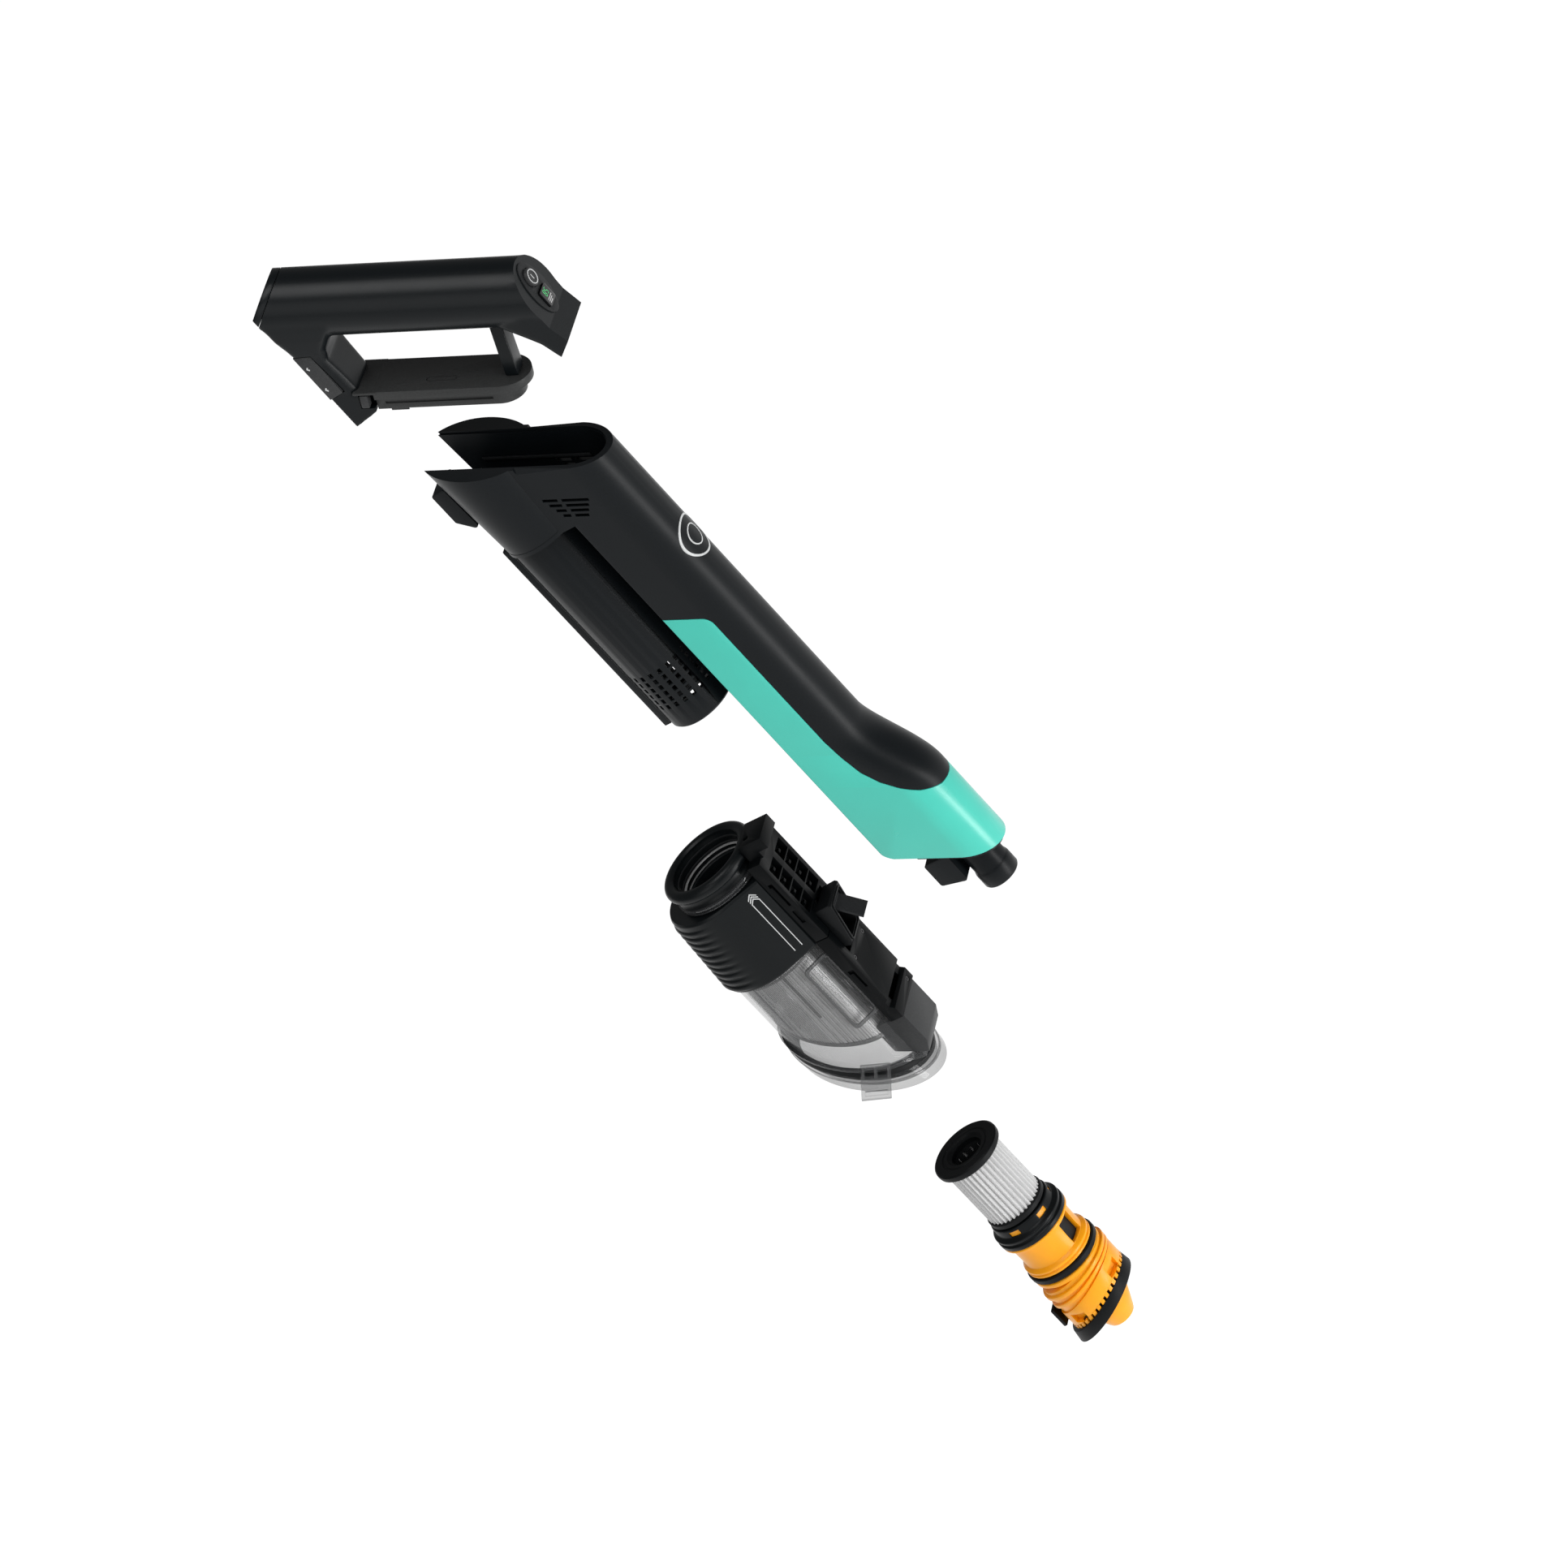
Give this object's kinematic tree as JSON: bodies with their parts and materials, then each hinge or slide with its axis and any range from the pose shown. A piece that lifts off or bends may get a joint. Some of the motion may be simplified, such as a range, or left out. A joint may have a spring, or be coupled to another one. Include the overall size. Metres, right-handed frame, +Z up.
{
  "type": "cordless stick vacuum",
  "caption": "Hand unit of a cordless stick vacuum drawn apart: battery handle, slim motor tube with side cover, clear dust bin, and cyclone with pleated filter.",
  "frame": {"origin": "centre of the flat rear face of the dock hook, at the back of the motor head", "axes": "+Z up along the motor tube towards the handle, -Y to the front of the tool, -X its near side; the bin and the cyclone hang below"},
  "size_m": [0.0812, 0.2227, 0.8428],
  "materials": {
    "black_plastic": "satin",
    "grey_plastic": "satin",
    "button_grey": "satin",
    "teal_cover": "gloss",
    "orange_plastic": "gloss",
    "clear_shell": "clear polycarbonate",
    "clear_seal": "translucent silicone",
    "black_rubber": "matt",
    "filter_paper": "pleated paper",
    "steel": "brushed",
    "mesh_steel": "fine woven mesh",
    "cell_wrap": "shrink wrap",
    "circuit_board": "solder mask",
    "display_glass": "gloss",
    "badge_metal": "polished"
  },
  "bodies": {
    "main_body": {"body_shell": "black_plastic", "side_cover": "teal_cover", "bin_channel": "black_plastic", "dirt_duct": "grey_plastic", "end_plate": "black_plastic", "nozzle_pipe": "grey_plastic", "wand_lock": "black_plastic", "motor_housing": "black_plastic", "wire_strip": "grey_plastic", "motor_mount": "black_rubber", "motor": "steel", "diffuser": "grey_plastic", "intake_ring": "grey_plastic", "control_board": "circuit_board", "terminal_block": "grey_plastic", "hook_block": "black_plastic", "badge_ring": "badge_metal"},
    "impeller": {"impeller": "steel"},
    "battery_handle": {"handle_shell": "black_plastic", "rear_cap": "black_plastic", "battery_cell_1": "cell_wrap", "battery_cell_2": "cell_wrap", "base_plate": "grey_plastic", "front_strut": "black_plastic", "contact_block": "button_grey", "control_panel": "grey_plastic", "display_window": "display_glass"},
    "power_button": {"power_button": "button_grey"},
    "release_button": {"release_button": "button_grey"},
    "latch_nub": {"latch_nub": "button_grey"},
    "dust_bin": {"bin_ring": "black_plastic", "ring_seal": "clear_seal", "clear_flange": "clear_shell", "grip_sleeve": "black_plastic", "clear_bin": "clear_shell", "mesh_shroud": "mesh_steel", "back_plate": "black_plastic", "duct_cover": "black_plastic", "cover_screw_1": "steel", "cover_screw_2": "steel", "cover_screw_3": "steel", "inlet_chute": "grey_plastic", "inlet_gasket": "black_rubber", "hinge_pin": "steel"},
    "bin_lid": {"bin_lid": "clear_shell", "lid_seal": "black_rubber"},
    "lid_latch": {"lid_latch": "clear_shell"},
    "inlet_flap": {"inlet_flap": "grey_plastic"},
    "cyclone": {"seal_collar": "black_plastic", "cyclone_barrel": "orange_plastic", "o_ring": "black_rubber", "vane_ring": "orange_plastic", "vane_drum": "orange_plastic", "skirt": "black_plastic", "cone_tip": "orange_plastic", "drain_pad": "black_rubber"},
    "filter": {"filter_flange": "black_rubber", "filter_pleats": "filter_paper", "filter_core": "grey_plastic", "filter_foot": "black_rubber"}
  },
  "joints": [
    {"name": "impeller_spin", "type": "hinge", "parent": "main_body", "child": "impeller", "pos_m": [0, -0.033, -0.13775], "axis": [0, 0, 1], "continuous": true},
    {"name": "handle_slide", "type": "slide", "parent": "main_body", "child": "battery_handle", "axis": [0, 0, -1], "range_m": [0, 0.0584]},
    {"name": "power_press", "type": "slide", "parent": "battery_handle", "child": "power_button", "axis": [0, 1, 0], "range_m": [0, 0.0005], "stiffness_N_per_m": 400},
    {"name": "release_press", "type": "slide", "parent": "battery_handle", "child": "release_button", "axis": [1, 0, 0], "range_m": [0, 0.0009], "stiffness_N_per_m": 400},
    {"name": "latch_slide", "type": "slide", "parent": "battery_handle", "child": "latch_nub", "axis": [1, 0, 0], "range_m": [0, 0.0009]},
    {"name": "bin_slide", "type": "slide", "parent": "main_body", "child": "dust_bin", "axis": [0, -0.6314, 0.7754], "range_m": [0, 0.118]},
    {"name": "lid_hinge", "type": "hinge", "parent": "dust_bin", "child": "bin_lid", "pos_m": [0.037, 0.0485, -0.42269], "axis": [0, 0.7885, 0.615], "range_deg": [-100, 0]},
    {"name": "latch_hinge", "type": "hinge", "parent": "dust_bin", "child": "lid_latch", "pos_m": [-0.03323, 0.03065, -0.42724], "axis": [0.3035, -0.7513, -0.586], "range_deg": [-25, 0], "stiffness_Nm_per_rad": 0.02},
    {"name": "flap_hinge", "type": "hinge", "parent": "dust_bin", "child": "inlet_flap", "pos_m": [0, -0.00448, -0.33598], "axis": [1, 0, 0], "range_deg": [0, 46]},
    {"name": "cyclone_slide", "type": "slide", "parent": "dust_bin", "child": "cyclone", "axis": [0, 0, 1], "range_m": [0, 0.068]},
    {"name": "filter_slide", "type": "slide", "parent": "cyclone", "child": "filter", "axis": [0, 0, -1], "range_m": [-0.03, 0]}
  ],
  "couplings": [
    {"joint": "latch_slide", "follows": "release_press", "ratio": 1}
  ]
}
